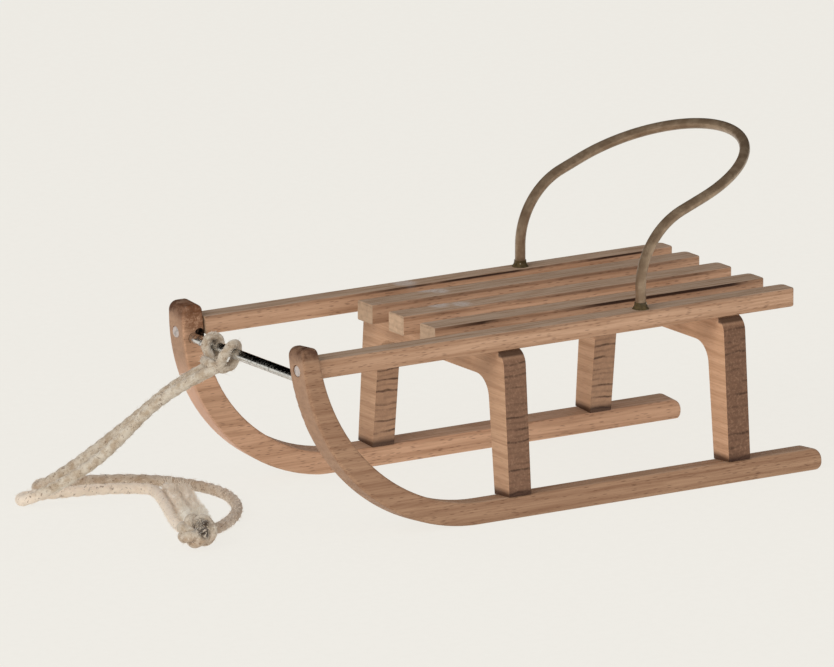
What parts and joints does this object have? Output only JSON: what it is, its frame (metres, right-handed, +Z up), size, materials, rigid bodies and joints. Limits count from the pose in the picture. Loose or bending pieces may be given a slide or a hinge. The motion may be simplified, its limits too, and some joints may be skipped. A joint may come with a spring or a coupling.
{
  "type": "miniature wooden sled",
  "caption": "Miniature beech sled with upswept runners, arched bridges, a slatted deck, a bent wire push handle and a knotted pull cord tied to a steel bar.",
  "frame": {"origin": "middle of the sled's bounding box in X and Y, on the plane the runners stand on", "axes": "+X is the direction of travel, toward the upswept noses; +Y is the sled's left side; +Z is up"},
  "size_m": [0.1861, 0.0882, 0.0817],
  "materials": {
    "runner_wood": "sanded, raw",
    "bridge_wood": "sanded, raw",
    "deck_wood": "sanded, raw",
    "dowel_wood": "raw",
    "bright_steel": "bright drawn",
    "nail_steel": "dull",
    "hoop_wire": "bronze-brown lacquer, semi-gloss",
    "hoop_cement": "dark bronze cement, semi-matte",
    "cord_fibre": "natural twisted fibre"
  },
  "bodies": {
    "sled": {"runner_left": "runner_wood", "runner_right": "runner_wood", "bridge_front": "bridge_wood", "bridge_rear": "bridge_wood", "side_rail_left": "deck_wood", "side_rail_right": "deck_wood", "seat_slat_left": "deck_wood", "seat_slat_middle": "deck_wood", "seat_slat_right": "deck_wood", "pull_bar": "bright_steel", "rail_nail_left": "nail_steel", "rail_nail_right": "nail_steel", "handle_hoop": "hoop_wire", "hoop_collar_left": "hoop_cement", "hoop_collar_right": "hoop_cement", "leg_dowels": "dowel_wood", "deck_pins": "nail_steel", "cord_end_knot": "cord_fibre", "cord_hitch": "cord_fibre", "cord_strand_rear": "cord_fibre", "cord_strand_front": "cord_fibre", "cord_tail_rear": "cord_fibre", "cord_tail_front": "cord_fibre"}
  },
  "joints": []
}
